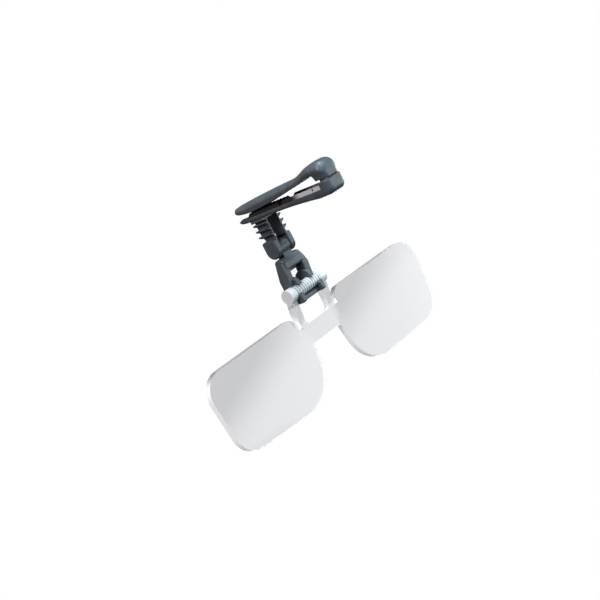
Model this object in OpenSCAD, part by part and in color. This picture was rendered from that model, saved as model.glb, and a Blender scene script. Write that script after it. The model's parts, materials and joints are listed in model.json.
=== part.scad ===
// Clip-on hat magnifier.
// X runs along the lenses, -Y points forward, away from the wearer, and +Z is up.
// The origin is in the mouth of the clip, midway between the grip pads and above the stem.

/* [Clip] */
// Width of both jaws
clip_w = 8.8; // [8.2:0.1:10]
// Reach of the jaw tips behind the stem
tip_reach = 11.1; // [10.8:0.1:13]
// Reach of the clip's closed end in front of the stem
rear_reach = 35.8; // [34:0.2:40]
// Height of the jaw hinge above the mouth
seam_z = 1.1; // [0.9:0.1:1.4]
// Opening of the seam round the closed end
seam_gap = 0.7; // [0.65:0.05:0.9]
// Depth of the solid block at the closed end
block_d = 3.8; // [3.6:0.1:4.4]
// Top of the upper jaw at the closed end
crown_z = 7.3; // [7.1:0.1:7.6]
// Top of the upper jaw halfway along
deck_z = 4.4; // [4.2:0.1:4.7]
// Top of the upper jaw near its tip
nose_z = 3.1; // [2.8:0.1:3.3]
// Lower edge of the upper jaw near the closed end
throat_z = 3.85; // [3.4:0.05:4.2]
// Lower edge of the upper jaw above the stem
lip_z = 0.2; // [0.1:0.1:0.4]
// Rise of that edge at the tip
lip_rise = 1; // [0.6:0.1:1.1]
// Underside of the lower jaw where the stem sits
under_z = 3; // [2.9:0.1:3.4]
// Setback of the throat's lower end from the closed end's block
throat_in = 1.2; // [0.6:0.1:1.4]
// Extra depth of the lower jaw at the closed end
belly = 1.2; // [0.8:0.1:1.6]
// Rise of the lower jaw's underside at its tip
tip_rise = 1.4; // [1:0.1:1.5]
// Top of the lower jaw's side walls below the mouth
rim_z = 1.5; // [1.4:0.1:1.7]
// Thickness of the lower jaw's floor
floor_t = 1; // [0.8:0.1:1.2]
// Thickness of the side walls
wall_t = 1; // [0.8:0.1:1.2]
// Thickness of the upper jaw's roof
roof_t = 1.2; // [1:0.1:1.3]

/* [Jaw hinge] */
// Radius of the hinge knuckles
knuckle_r = 1.2; // [1.1:0.05:1.3]
// Width of the middle knuckle
knuckle_w = 3.6; // [3:0.2:4]
// Radius of the hinge pin
jaw_pin_r = 0.6; // [0.5:0.05:0.7]

/* [Grip pads] */
// Length of the lower pad
lower_pad_l = 15; // [13:0.2:15.4]
// Reach of the lower pad behind the stem
lower_pad_y = 4.4; // [3:0.2:5]
// Length of the upper pad
upper_pad_l = 7.4; // [6.6:0.2:9]
// Reach of the upper pad behind the stem
upper_pad_y = 2; // [1:0.2:3]
// Recess of the upper pad above the mouth
upper_pad_z = 0.95; // [0.8:0.05:1]
// Spacing of the pads' ribs
rib_pitch = 1.7; // [1.4:0.1:2]
// Height of the pads' ribs
rib_h = 0.7; // [0.4:0.05:0.75]
// Gap between the two pads
mouth_gap = 0.2; // [0.2:0.05:0.4]

/* [Spring] */
// Thickness of the leaf spring
leaf_t = 0.45; // [0.3:0.05:0.5]
// Width of the leaf spring
leaf_w = 4.6; // [4:0.1:4.8]
// Length of the spring's lower leg
lower_leg = 14; // [12:0.5:15]
// Length of the spring's upper leg
upper_leg = 11; // [9:0.5:13]
// Thickness of the steel channel
channel_t = 0.4; // [0.3:0.05:0.5]
// Length of the channel
channel_l = 20.5; // [19.5:0.5:20.5]
// Length of the channel's full-height cheeks
cheek_l = 18.5; // [17.5:0.5:18.5]
// Height of the channel's cheeks above its base
cheek_h = 1.5; // [1.45:0.05:1.7]
// Radius of the pin across the channel
channel_pin_r = 0.4; // [0.3:0.05:0.45]
// Distance of that pin from the closed end
channel_pin_in = 8.2; // [8:0.1:8.4]
// Radius of the spring rivets
rivet_r = 0.6; // [0.5:0.05:0.8]
// Distance of the rivets from the ends of the spring's legs
rivet_in = 2; // [1.6:0.1:2.4]

/* [Stem] */
// Thickness of the collar under the jaw
collar_t = 0.8; // [0.6:0.1:0.9]
// Height of the stem from the jaw to the yoke
stem_l = 8; // [7.8:0.1:8.6]
// Distance of the stem's middle behind the origin
stem_y = 1; // [0.6:0.1:1.4]
// Gap between the stem's two legs
leg_gap = 4.8; // [4.6:0.1:5.2]
// Thickness of a leg
leg_t = 0.8; // [0.7:0.05:1]
// Slant of the legs' back edge above the yoke
leg_slant = 1.3; // [0.6:0.1:1.5]
// Width across the stem's fins
fin_w = 9.2; // [8.6:0.1:9.4]
// Thickness of a fin where it leaves the leg
fin_t = 1.1; // [0.8:0.05:1.2]
// Spacing of the fins
fin_pitch = 2.1; // [2:0.05:2.2]

/* [Yoke and flip hinge] */
// Width of the yoke
yoke_w = 9.2; // [8.8:0.1:9.6]
// Depth of the yoke from front to back
yoke_d = 5.8; // [5.4:0.1:6]
// Distance from the yoke's shoulders to the flip hinge
flip_drop = 3.7; // [3.4:0.1:4]
// Radius of the tongue between the cheeks
tongue_r = 2.6; // [2.2:0.05:2.7]
// Radius of the flip pin
flip_pin_r = 0.8; // [0.6:0.05:1]
// Length of the flip pin
flip_pin_l = 7.2; // [7:0.1:7.6]

/* [Hinge link] */
// Distance from the flip hinge to the crossbar
crossbar_drop = 5.5; // [5.4:0.05:5.8]
// Width of the crossbar
crossbar_w = 10; // [9.4:0.1:10.6]
// Half the thickness of the crossbar
crossbar_r = 2.2; // [2:0.05:2.25]
// Distance from the flip hinge down to the lens rod
rod_drop = 15.3; // [14.8:0.1:16]
// Distance of the lens rod in front of the flip hinge
rod_front = 1.3; // [1:0.1:1.6]
// Width across the link's arms
link_w = 12.4; // [12:0.1:12.8]
// Width of one arm
arm_w = 2.9; // [2.6:0.1:3]
// Depth of the arms
arm_d = 3; // [2.8:0.1:3.2]
// Thickness of the neck above the crossbar
neck_t = 3; // [2.6:0.1:3.4]
// Radius of the discs inside the arms' ends
disc_r = 4.2; // [4:0.1:4.4]
// Reach of such a disc inside its arm
disc_t = 0.8; // [0.5:0.1:1]
// Distance of the discs' centre behind the rod
disc_back = 2.1; // [1.8:0.1:2.3]
// Depth of the web under the crossbar
web_drop = 1; // [0.6:0.1:1.2]

/* [Lens retainer] */
// Bottom of the retainer below the rod's axis
bar_drop = 4.1; // [3.9:0.1:4.3]
// Reach of the retainer's bar in front of the rod's axis
bar_front = 1.2; // [1:0.1:1.6]
// Width of the lugs in front of the rod
lug_w = 2.2; // [1.8:0.1:2.4]
// Thickness of the lugs in front of the rod
lug_t = 0.8; // [0.6:0.1:1]
// Radius of the snap pegs
peg_r = 0.45; // [0.4:0.05:0.5]
// Height of the snap pegs
peg_h = 1.6; // [1.2:0.1:2]

/* [Lens] */
// Radius of the lens rod
rod_r = 2.2; // [2:0.05:2.3]
// Width of a strut
strut_w = 2.9; // [2.6:0.1:3.1]
// Radius of the rod's end bosses
boss_r = 2.5; // [2.4:0.1:2.8]
// Thickness of the lens plate
plate_t = 2; // [1.6:0.1:2.4]
// Distance of the plate behind the rod's axis
plate_set = 0.5; // [0.4:0.1:0.8]
// Distance from the rod down to the lens's upper edge
brow_drop = 6.2; // [6:0.1:7]
// Distance from the rod down to the bridge
window_h = 11.1; // [10.8:0.1:12]
// Height of the bridge
bridge_h = 6.8; // [6:0.1:8]
// Half the width across the upper corners
brow_x = 58; // [54:0.5:62]
// Sweep of each lens towards the face, in degrees
sweep = 1; // [0.5:0.1:1.5]
// Half the width across the lower corners
cheek_x = 55; // [52:0.5:59]
// Height of a lens at its outer side
lens_h = 28.8; // [26:0.2:30]
// Extra height of a lens at its inner side
lens_dip = 1.2; // [0.6:0.1:1.8]
// Half the gap between the lenses at their lower corners
nose_x = 10.5; // [9.5:0.5:13]
// Radius of the outer corners
corner_r = 8; // [6:0.5:10]
// Radius of the inner lower corners
nose_r = 13.5; // [12:0.5:14]
// Radius of the lens's upper corner beside the strut
brow_r = 4; // [3:0.1:4.2]
// Gap between the strut and the lens's upper corner
notch_w = 1.3; // [1:0.1:1.6]
// Radius of the window's lower corners between the struts
window_r = 1.8; // [1:0.1:2.2]
// Radius of the lens's convex front
lens_curve = 245; // [200:5:300]
// Distance from a lens's centre at which its front meets the plate
lens_reach = 26; // [25.5:0.1:26.5]

/* [Fits] */
// Clearance round a turning pin
pin_gap = 0.05; // [0.03:0.01:0.08]
// Clearance between parts that move past each other
move_gap = 0.3; // [0.2:0.05:0.35]
// Clearance between parts that seat on each other
seat_gap = 0.05; // [0.02:0.01:0.1]

/* [Hidden] */
$fn = 48;
slate = "#4b5a64";
rubber = "#202224";
steel = "#b9bec2";
clear_lens = [0.88, 0.89, 0.91, 0.5];
// Steps of an arc in an outline
arc_steps = 10;
// Overlap that makes a cut pass its surface, or joins two shapes of one piece
over = 1;
join = 0.2;

// Clip
rear_y = -rear_reach;
inner_y = rear_y + block_d;
hinge = [rear_y + block_d / 2 + 0.1, seam_z];
floor_z = -under_z + floor_t;
// The lower jaw's floor is level; its underside falls towards the closed end and rises at the tip
belly_y = inner_y + 2.6;
belly_start = -7;
rise_start = 4;
rear_round = 2.2;
tip_flat = 4;
tray_front = tip_reach - tip_flat;
// The side views run on a little past the round tip
side_tip = tip_reach + 0.3;
channel_w = clip_w - 2 * wall_t - 2 * seat_gap;
pad_w = clip_w - 2 * wall_t - 2 * seat_gap;

// Top of the upper jaw, from the tip over the swell to the closed end
nose_start = [tray_front + 0.6, nose_z];
nose_pull = [-3, (nose_z + deck_z) / 2 + 0.25];
deck_end = [-16.6, deck_z];
swell_start = [-21.6, deck_z + 0.23];
swell = [-25.2, (deck_z + crown_z) / 2];
swell_end = [-28.6, crown_z];
crown_end = [-32.2, crown_z];
crown_pull = [rear_y + 0.4, crown_z];
crown_rear = [rear_y, crown_z - 2.3];

// Lower edge of the upper jaw, from the tip to the throat, and the throat's slanting rear
lip_start = [tip_reach - 1, lip_z + lip_rise];
lip_pull = [5, lip_z - 0.2];
lip_end = [0, lip_z];
edge_end = [inner_y + 2.3, throat_z];
edge_pull = [edge_end[0] / 2, lip_z + 0.38 * throat_z];
throat_pull = [inner_y + throat_in, throat_z - 0.2];

// Spring
leg_z = floor_z + channel_t + leaf_t / 2;
channel_rear = inner_y + seat_gap;
bend_y = inner_y + 0.15;
rivet_head_r = 1.8 * rivet_r;
rivet_head_t = 0.4;
rivet_play = 0.02;
ear_play = 0.15;
ear_skin = 0.4;

// Stem, yoke and hinges
collar_z = -under_z - collar_t;
yoke_z = -under_z - stem_l;
yoke_r = yoke_d / 2;
flip = [stem_y, yoke_z - flip_drop];
leg_out = leg_gap / 2 + leg_t;
leg_back = stem_y + yoke_r - 0.1;
fin_tip_t = 0.5;
fin_low = -0.25;
spigot_w = 3;
spigot_d = 3;
play = 0.15;

// Link, with the crossbar a little in front of the flip hinge
crossbar = flip + [-0.4, -crossbar_drop];
rod = flip + [-rod_front, -rod_drop];
tongue_w = leg_gap - 2 * play;
arm_in = link_w / 2 - arm_w;
socket_bore = rod_r + pin_gap;
socket_floor = -1.5;
mouth_top = 1.9;
disc_up = -0.2;
arm_back = rod[0] + 3.4;
web_y = [0.2, 2];
bar_top = socket_floor - seat_gap;
peg_y = 2.8;
lug_top = -0.6;
lug_front = socket_bore + lug_t;

// Lens
strut_in = link_w / 2 + move_gap;
strut_out = strut_in + strut_w;
strut_d = 2.4;
plate_front = rod[0] + plate_set;
plate_back = plate_front + plate_t;
brow_z = rod[1] - brow_drop;
bridge_z = rod[1] - window_h;
chin_z = brow_z - lens_h;
inner_chin_z = chin_z - lens_dip;
brow_in = strut_out + notch_w;
lens_x = (brow_in + brow_x) / 2 - 1;
lens_z = brow_z - lens_h / 2;
bulge = lens_curve - sqrt(lens_curve * lens_curve - lens_reach * lens_reach);

// Points of a curve from a to c that is pulled towards b
function curve(a, b, c, steps) =
    [for (i = [0:steps]) let (t = i / steps) (1 - t) * (1 - t) * a + 2 * t * (1 - t) * b + t * t * c];

// The points of a list after its first, for a curve that goes on from the last one
function after_first(points) = [for (i = [1:len(points) - 1]) points[i]];

// Points of an arc
function arc(center, r, first, last, steps) =
    [for (i = [0:steps]) let (q = first + (last - first) * i / steps) center + r * [cos(q), sin(q)]];

// The arc that rounds corner b between its neighbours a and c
function corner(a, b, c, r) =
    r == 0 ? [b] :
    let (u = (a - b) / norm(a - b), v = (c - b) / norm(c - b))
    let (half = acos(u * v) / 2)
    let (center = b + (u + v) / norm(u + v) * r / sin(half))
    let (from = b + u * r / tan(half) - center, to = b + v * r / tan(half) - center)
    let (first = atan2(from[1], from[0]), turn = atan2(to[1], to[0]) - first)
    let (sweep = turn > 180 ? turn - 360 : (turn < -180 ? turn + 360 : turn))
    arc(center, r, first, first + sweep, arc_steps);

// An outline from corners given as [x, y, radius]
function rounded(corners) =
    let (n = len(corners))
    [for (i = [0:n - 1])
        let (a = corners[(i + n - 1) % n], b = corners[i], c = corners[(i + 1) % n])
        each corner([a[0], a[1]], [b[0], b[1]], [c[0], c[1]], b[2])];

// Extrudes a side view, drawn in Y and Z, from x0 to x1
module across(x0, x1) {
    rotate([90, 0, 90])
        translate([0, 0, x0])
            linear_extrude(x1 - x0)
                children();
}

// The same on both sides of the middle
module both_across(x0, x1) {
    across(x0, x1) children();
    across(-x1, -x0) children();
}

// Extrudes a front view, drawn in X and Z, from y0 to y1
module through(y0, y1) {
    translate([0, y1, 0])
        rotate([90, 0, 0])
            linear_extrude(y1 - y0)
                children();
}

// A round bar along X, whose place is given in Y and Z
module bar(r, x0, x1, at) {
    translate([x0, at[0], at[1]])
        rotate([0, 90, 0])
            cylinder(r = r, h = x1 - x0);
}

// A box from its lowest to its highest corner
module block(low, high) {
    translate(low)
        cube(high - low);
}

// Plan of a jaw: straight sides, and a round tip
function jaw_plan(w) =
    let (side = w / 2, tip_y = tip_reach - tip_flat)
    concat([[-side, rear_y - over], [side, rear_y - over], [side, tip_y]],
           [for (q = [15:15:165]) [side * cos(q), tip_y + tip_flat * sin(q)]],
           [[-side, tip_y]]);

// Side view of the lower jaw
lower_side = concat(
    [[rear_y, seam_z - seam_gap / 2]],
    curve([rear_y, rear_round - under_z - belly], [rear_y, -under_z - belly],
          [rear_y + rear_round, -under_z - belly], arc_steps),
    curve([belly_y, -under_z - belly], [(belly_y + belly_start) / 2, -under_z], [belly_start, -under_z],
          arc_steps),
    curve([rise_start, -under_z], [tray_front + 2, -under_z], [side_tip, -under_z + tip_rise], arc_steps),
    [[side_tip, floor_z + 0.8], [tray_front, -rim_z], [inner_y, -rim_z], [inner_y, seam_z - seam_gap / 2]]);

// Top of the upper jaw, and the height of that line at y
upper_top = concat(
    curve(nose_start, nose_pull, deck_end, arc_steps),
    after_first(curve(deck_end, swell_start, swell, arc_steps)),
    after_first(curve(swell, swell_end, crown_end, arc_steps)));
function top_z(y) =
    let (last = len(upper_top) - 1)
    lookup(y, [for (i = [0:last]) upper_top[last - i]]);

// Side view of the upper jaw
upper_side = concat(
    curve([side_tip, lip_start[1] + 0.3], [side_tip, nose_z - 0.2], nose_start, arc_steps),
    after_first(upper_top),
    after_first(curve(crown_end, crown_pull, crown_rear, arc_steps)),
    [[rear_y, seam_z + seam_gap / 2]],
    curve([inner_y + throat_in, seam_z + seam_gap / 2], throat_pull, edge_end, arc_steps),
    after_first(curve(edge_end, edge_pull, lip_end, arc_steps)),
    after_first(curve(lip_end, lip_pull, lip_start, arc_steps)),
    [[side_tip, lip_start[1]]]);

module lower_jaw() {
    color(slate)
    difference() {
        union() {
            intersection() {
                across(-clip_w / 2, clip_w / 2) polygon(lower_side);
                translate([0, 0, -under_z - belly - over])
                    linear_extrude(under_z + belly + seam_z + 2 * over)
                        polygon(jaw_plan(clip_w));
            }
            bar(knuckle_r, -knuckle_w / 2, knuckle_w / 2, hinge);
        }
        block([wall_t - clip_w / 2, inner_y, floor_z], [clip_w / 2 - wall_t, tray_front, seam_z]);
        // Sockets for the upper jaw's ears
        for (side = [-1, 1])
            bar(knuckle_r + seat_gap + 0.1, side > 0 ? knuckle_w / 2 : wall_t - clip_w / 2,
                side > 0 ? clip_w / 2 - wall_t : -knuckle_w / 2, hinge);
        bar(jaw_pin_r + pin_gap, -clip_w / 2 + wall_t, clip_w / 2 - wall_t, hinge);
        // Hole for the stem's spigot
        block([-spigot_w / 2 - seat_gap, stem_y - spigot_d / 2 - seat_gap, -under_z - over],
              [spigot_w / 2 + seat_gap, stem_y + spigot_d / 2 + seat_gap, floor_z + over]);
        translate([0, rivet_y(lower_tip_y), floor_z - floor_t / 2])
            cylinder(r = rivet_r, h = floor_t);
    }
}

// A pad's side view: a flat back and pointed ribs
function pad_ribs(y0, y1, base_z, crest_z) =
    let (count = round((y1 - y0) / rib_pitch), step = (y1 - y0) / count)
    let (root_z = crest_z + sign(base_z - crest_z) * rib_h)
    concat([[y0, base_z], [y0, root_z]],
           [for (i = [0:count - 1]) each [[y0 + (i + 0.5) * step, crest_z], [y0 + (i + 1) * step, root_z]]],
           [[y1, base_z]]);

module lower_grip_pad() {
    color(rubber)
    across(-pad_w / 2, pad_w / 2)
        polygon(pad_ribs(lower_pad_y - lower_pad_l, lower_pad_y, floor_z, -mouth_gap / 2));
}

module upper_grip_pad() {
    color(rubber)
    across(-pad_w / 2, pad_w / 2)
        polygon(pad_ribs(upper_pad_y - upper_pad_l, upper_pad_y, upper_pad_z, mouth_gap / 2));
}

module upper_jaw() {
    ear_in = knuckle_w / 2 + ear_play;
    ear_out = clip_w / 2 - wall_t - ear_play;
    cave_front = upper_pad_y - upper_pad_l - 1;
    cave = concat(
        [for (i = [0:2 * arc_steps]) let (y = inner_y + (cave_front - inner_y) * i / (2 * arc_steps))
            [y, top_z(y) - roof_t]],
        [[cave_front, -over], [inner_y, -over]]);
    color(slate)
    difference() {
        union() {
            intersection() {
                across(-clip_w / 2, clip_w / 2) polygon(upper_side);
                translate([0, 0, -over])
                    linear_extrude(crown_z + 3 * over)
                        polygon(jaw_plan(clip_w));
            }
            both_across(ear_in, ear_out)
                translate(hinge) circle(knuckle_r);
        }
        across(wall_t - clip_w / 2, clip_w / 2 - wall_t) polygon(cave);
        // Seat of the pad
        block([-pad_w / 2 - seat_gap, upper_pad_y - upper_pad_l - seat_gap, -over],
              [pad_w / 2 + seat_gap, upper_pad_y + seat_gap, upper_pad_z]);
        // Socket for the lower jaw's knuckle
        bar(knuckle_r + seat_gap + 0.1, -ear_in, ear_in, hinge);
        bar(jaw_pin_r, -ear_out + ear_skin, ear_out - ear_skin, hinge);
        translate([0, rivet_y(upper_tip_y), leaf_top_z(rivet_y(upper_tip_y)) - over])
            cylinder(r = rivet_r, h = over + roof_t / 2);
    }
}

module jaw_hinge_pin() {
    half = clip_w / 2 - wall_t - ear_play - ear_skin - seat_gap;
    color(steel)
    bar(jaw_pin_r, -half, half, hinge);
}

// The leaf spring: a lower leg, a round bend at the closed end and an upper leg under the roof.
// The bend is the circle that touches both legs.
function leaf_top_z(y) = top_z(y) - roof_t;
leaf_start = inner_y + 3;
leaf_depth = leaf_t / 2 + 0.25;
leaf_lift = 1.7;
top_b = [leaf_start + upper_leg, leaf_top_z(leaf_start + upper_leg) - leaf_depth];
top_a = [leaf_start, top_b[1] + leaf_lift];
top_slope = (top_b[1] - top_a[1]) / (top_b[0] - top_a[0]);
top_angle = atan(-top_slope);
bend_share = cos(top_angle) / (1 + cos(top_angle));
bend_r = bend_share * (top_a[1] - leg_z + top_slope * (bend_y + leaf_t / 2 - top_a[0]))
         / (1 - bend_share * top_slope);
bend = [bend_y + leaf_t / 2 + bend_r, leg_z + bend_r];
lower_tip_y = bend[0] + lower_leg;
upper_tip_y = top_b[0];
function rivet_y(tip_y) = tip_y - rivet_in;
function leaf_z(y) = top_b[1] + top_slope * (y - top_b[0]);

function leaf_face(offset) = concat(
    [[lower_tip_y, leg_z - offset]],
    arc(bend, bend_r + offset, -90, -270 - top_angle, 2 * arc_steps),
    [top_b + offset * [sin(top_angle), cos(top_angle)]]);

module leaf_spring() {
    outer = leaf_face(leaf_t / 2);
    inner = leaf_face(-leaf_t / 2);
    last = len(inner) - 1;
    color(steel)
    difference() {
        across(-leaf_w / 2, leaf_w / 2)
            polygon(concat(outer, [for (i = [0:last]) inner[last - i]]));
        translate([0, rivet_y(lower_tip_y), leg_z - over])
            cylinder(r = rivet_r + pin_gap, h = 2 * over);
        translate([0, rivet_y(upper_tip_y), leaf_z(rivet_y(upper_tip_y)) - over])
            cylinder(r = rivet_r + pin_gap, h = 2 * over);
    }
}

// The pin lies on the spring's lower leg
channel_pin = [rear_y + channel_pin_in, leg_z + leaf_t / 2 + channel_pin_r + rivet_play];

module spring_channel() {
    cheek_top = floor_z + channel_t + cheek_h;
    cheek = [[channel_rear, floor_z], [channel_rear, cheek_top], [channel_rear + cheek_l, cheek_top],
             [channel_rear + channel_l, floor_z + channel_t], [channel_rear + channel_l, floor_z]];
    color(steel)
    difference() {
        union() {
            both_across(channel_w / 2 - channel_t, channel_w / 2) polygon(cheek);
            block([-channel_w / 2, channel_rear, floor_z],
                  [channel_w / 2, channel_rear + channel_l, floor_z + channel_t]);
        }
        bar(channel_pin_r, -channel_w / 2 - over, channel_w / 2 + over, channel_pin);
        translate([0, rivet_y(lower_tip_y), floor_z - over])
            cylinder(r = rivet_r, h = 3 * over);
    }
}

module channel_pin() {
    color(steel)
    bar(channel_pin_r, -channel_w / 2, channel_w / 2, channel_pin);
}

// A rivet: a shank and a low head
module rivet(shank) {
    cylinder(r = rivet_r, h = shank);
    translate([0, 0, shank])
        cylinder(r = rivet_head_r, h = rivet_head_t);
}

module lower_spring_rivet() {
    top = leg_z + leaf_t / 2 + rivet_play;
    low = floor_z - floor_t / 2;
    color(steel)
    translate([0, rivet_y(lower_tip_y), low])
        rivet(top - low);
}

module upper_spring_rivet() {
    y = rivet_y(upper_tip_y);
    high = leaf_top_z(y) + roof_t / 2;
    // The head clears the slanting leg on its lower side
    low = leaf_z(y) - leaf_t / 2 - rivet_head_r * abs(top_slope) - 0.1;
    color(steel)
    translate([0, y, high])
        mirror([0, 0, 1])
            rivet(high - low);
}

// The stem: a collar under the jaw and two finned legs that end in the yoke's cheeks
module ribbed_stem() {
    front = stem_y - yoke_r;
    back = stem_y + yoke_r;
    fin_count = floor((stem_l - collar_t) / fin_pitch);
    leg = [[front, collar_z + join], [front, yoke_z - join], [leg_back - leg_slant, yoke_z - join],
           [leg_back, yoke_z + fin_pitch], [leg_back, collar_z + join]];
    color(slate)
    difference() {
        union() {
            block([-fin_w / 2, front, collar_z], [fin_w / 2, back, -under_z]);
            block([-spigot_w / 2, stem_y - spigot_d / 2, -under_z - join],
                  [spigot_w / 2, stem_y + spigot_d / 2, floor_z]);
            both_across(leg_gap / 2, leg_out) polygon(leg);
            // Fins, thinner at their tips
            for (i = [1:fin_count])
                through(front, back)
                    translate([0, yoke_z + fin_low + i * fin_pitch])
                        for (side = [-1, 1])
                            polygon([[side * leg_gap / 2, -fin_t / 2], [side * leg_out, -fin_t / 2],
                                     [side * fin_w / 2, fin_t / 2 - fin_tip_t], [side * fin_w / 2, fin_t / 2],
                                     [side * leg_gap / 2, fin_t / 2]]);
            // The yoke's cheeks
            both_across(leg_gap / 2, yoke_w / 2)
                polygon(rounded([[front, yoke_z, 0.6], [back, yoke_z, 0.6], [back, flip[1], 0],
                                 [front, flip[1], 0]]));
            for (side = [-1, 1])
                bar(yoke_r, side > 0 ? leg_gap / 2 : -yoke_w / 2, side > 0 ? yoke_w / 2 : -leg_gap / 2, flip);
        }
        bar(flip_pin_r, -flip_pin_l / 2, flip_pin_l / 2, flip);
    }
}

module flip_pin() {
    color(steel)
    bar(flip_pin_r, -flip_pin_l / 2, flip_pin_l / 2, flip);
}

// The link: a tongue, a neck, a crossbar and two arms that hold the rod from behind
module hinge_link() {
    arm = [crossbar + [-crossbar_r + 0.4, 0.8], crossbar + [crossbar_r - 0.9, 0.8],
           [arm_back, rod[1] + 5], [arm_back, rod[1] + socket_floor], [rod[0], rod[1] + socket_floor],
           [arm_back - arm_d + 0.1, rod[1] + 1.5], crossbar + [-crossbar_r + 0.1, -3]];
    // Front view of one arm with its slanting shoulder, a little larger than the arm elsewhere
    slant = [(link_w - crossbar_w) / 4, -1.4];
    low = rod[1] - disc_r;
    shoulder = [[arm_in - over, low], [link_w / 2 + slant[0], low],
                [link_w / 2, crossbar[1] - 1] + slant, [crossbar_w / 2, crossbar[1] + 1.8] - slant,
                [arm_in - over, crossbar[1] + 1.8 - slant[1]]];
    color(slate)
    difference() {
        union() {
            bar(tongue_r, -tongue_w / 2, tongue_w / 2, flip);
            across(-tongue_w / 2, tongue_w / 2)
                polygon([flip - [neck_t / 2, 0], flip + [neck_t / 2, 0],
                         crossbar + [neck_t / 2, 0], crossbar - [neck_t / 2, 0]]);
            // The crossbar, with a flat face in front
            across(-crossbar_w / 2, crossbar_w / 2)
                translate(crossbar)
                    polygon(rounded([[-crossbar_r, -crossbar_r, 0.6], [crossbar_r, -crossbar_r, 1.2],
                                     [crossbar_r, crossbar_r, 1.6], [-crossbar_r, crossbar_r, 1.4]]));
            // A web behind the crossbar stiffens it between the arms
            block([-arm_in - join, crossbar[0] + web_y[0], crossbar[1] - crossbar_r - web_drop],
                  [arm_in + join, crossbar[0] + web_y[1], crossbar[1]]);
            // The arms, cut off slanting at their shoulders
            intersection() {
                both_across(arm_in, link_w / 2) polygon(arm);
                union()
                    for (side = [-1, 1])
                        through(crossbar[0] - 2 * crossbar_r, arm_back + over)
                            polygon([for (p = shoulder) [side * p[0], p[1]]]);
            }
            for (side = [-1, 1])
                bar(disc_r, side > 0 ? arm_in - disc_t : -arm_in - disc_t,
                    side > 0 ? arm_in + disc_t : -arm_in + disc_t, rod + [disc_back, disc_up]);
        }
        bar(flip_pin_r + pin_gap, -tongue_w, tongue_w, flip);
        bar(socket_bore, -link_w, link_w, rod);
        // The arms end above the retainer and leave the rod free in front
        block([-link_w, rod[0] - 2 * disc_r, rod[1] - 2 * disc_r],
              [link_w, rod[0] + 2 * disc_r, rod[1] + socket_floor]);
        block([-link_w, rod[0] - 2 * disc_r, rod[1] - 2 * disc_r], [link_w, rod[0], rod[1] + mouth_top]);
        for (side = [-1, 1])
            translate([side * (arm_in + arm_w / 2), rod[0] + peg_y, rod[1] + socket_floor - over])
                cylinder(r = peg_r, h = peg_h + over);
    }
}

// The retainer: a bar under the rod, and a lug at each end that reaches round in front of the rod
module lens_retainer() {
    bar_side = rounded([[-bar_front, -bar_drop, 0.6], [arm_back - rod[0], -bar_drop, 0.6],
                        [arm_back - rod[0], bar_top, 0.2], [-bar_front, bar_top, 0.2]]);
    lug_side = rounded([[-lug_front, -bar_drop, 1.4], [0, -bar_drop, 0], [0, lug_top, 0],
                        [-lug_front, lug_top, 0.4]]);
    color(slate)
    difference() {
        union() {
            across(-link_w / 2, link_w / 2) translate(rod) polygon(bar_side);
            both_across(link_w / 2 - lug_w, link_w / 2) translate(rod) polygon(lug_side);
            for (side = [-1, 1])
                translate([side * (arm_in + arm_w / 2), rod[0] + peg_y, rod[1] + bar_top - join])
                    cylinder(r = peg_r, h = peg_h - seat_gap);
        }
        bar(socket_bore, -link_w, link_w, rod);
    }
}

// Outline of one lens, on the +X side, in X and Z
function lens_outline() = rounded([
    [brow_in, brow_z, brow_r], [brow_x, brow_z - 0.2, corner_r], [cheek_x, chin_z, corner_r],
    [nose_x, inner_chin_z, nose_r], [strut_in - 0.1, bridge_z - join, 0], [strut_in, bridge_z, 0],
    [brow_in, bridge_z, 0]]);

module lens_half() {
    // The plate turns about its inner end
    translate([strut_out, plate_front, 0]) rotate([0, 0, sweep]) translate([-strut_out, -plate_front, 0]) {
        through(plate_front, plate_back) polygon(lens_outline());
        // The convex front
        intersection() {
            through(plate_front - 2 * bulge, plate_front + join) polygon(lens_outline());
            translate([lens_x, plate_front + lens_curve - bulge, lens_z])
                sphere(r = lens_curve, $fn = 300);
        }
    }
    // The rounded corner of the window between the struts
    through(plate_front, plate_back)
        polygon(concat([[strut_in + join, bridge_z - join], [strut_in + join, bridge_z + window_r]],
                       arc([strut_in - window_r, bridge_z + window_r], window_r, 0, -90, arc_steps),
                       [[strut_in - window_r, bridge_z - join]]));
    // The strut
    across(strut_in, strut_out)
        polygon([[rod[0] - strut_d / 2, rod[1]], [plate_front, bridge_z + 1], [plate_front, bridge_z - 2],
                 [plate_back, bridge_z - 2], [plate_back, brow_z + 1], [rod[0] + strut_d / 2, rod[1]]]);
    bar(boss_r, strut_in, strut_out, rod);
}

// The lens: one clear moulding with its rod, struts, bridge and two lenses
module magnifier_lens() {
    color(clear_lens)
    union() {
        lens_half();
        mirror([1, 0, 0]) lens_half();
        bar(rod_r, -strut_in - join, strut_in + join, rod);
        through(plate_front, plate_back)
            polygon([[-strut_out, bridge_z], [strut_out, bridge_z],
                     [strut_out, bridge_z - bridge_h], [-strut_out, bridge_z - bridge_h]]);
    }
}

lower_jaw();
lower_grip_pad();
ribbed_stem();
spring_channel();
channel_pin();
lower_spring_rivet();
leaf_spring();
upper_jaw();
upper_grip_pad();
upper_spring_rivet();
jaw_hinge_pin();
flip_pin();
hinge_link();
lens_retainer();
magnifier_lens();
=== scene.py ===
"""Looks of the clip-on hat magnifier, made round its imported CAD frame.

Shapes are worked out in millimetres, in the CAD's own frame, and put into the meshes in metres.
"""
import json

import bmesh
import bpy
import numpy as np
from bpy.props import FloatProperty, FloatVectorProperty, PointerProperty, StringProperty
from mathutils import Matrix, Vector


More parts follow.
